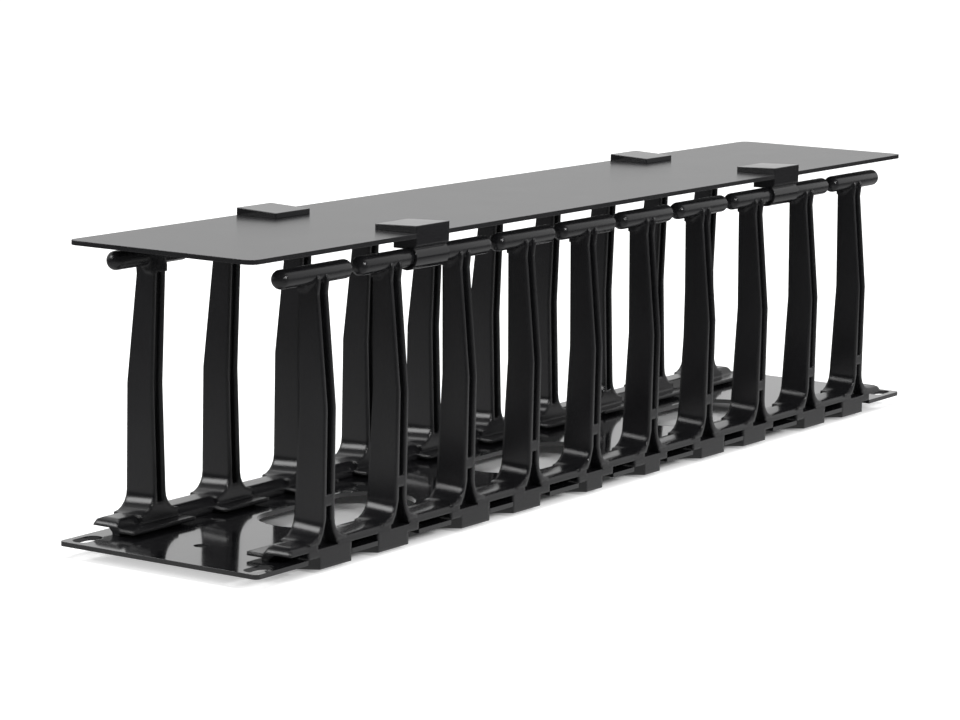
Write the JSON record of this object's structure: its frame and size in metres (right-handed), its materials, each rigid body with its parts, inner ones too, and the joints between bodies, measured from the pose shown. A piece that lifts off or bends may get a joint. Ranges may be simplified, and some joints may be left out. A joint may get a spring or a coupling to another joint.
{
  "type": "horizontal cable manager",
  "caption": "Rack panel that carries two rows of cable fingers with crossbar tips and a flat hinged cover held by clips.",
  "frame": {"origin": "middle of the part on the surface that it lies on, below the panel's centre", "axes": "+X along the panel, +Y towards the row that the cover hinges on, +Z from the panel through the fingers to the cover"},
  "size_m": [0.4826, 0.0882, 0.1167],
  "materials": {
    "panel": "glossy black powder coat",
    "finger_plastic": "moulded black plastic with a soft gloss",
    "cover": "matte black sheet",
    "clip_plastic": "moulded black plastic"
  },
  "bodies": {
    "base": {"back_panel": "panel", "near_finger_row": "finger_plastic", "far_finger_row": "finger_plastic"},
    "lid": {"cover": "cover", "near_left_clip": "clip_plastic", "near_right_clip": "clip_plastic", "far_left_clip": "clip_plastic", "far_right_clip": "clip_plastic"}
  },
  "joints": [
    {"name": "cover_hinge", "type": "hinge", "parent": "base", "child": "lid", "pos_m": [0, 0.0364, 0.1048], "axis": [-1, 0, 0], "range_deg": [0, 105], "deforming": ["near_left_clip", "near_right_clip"]}
  ]
}
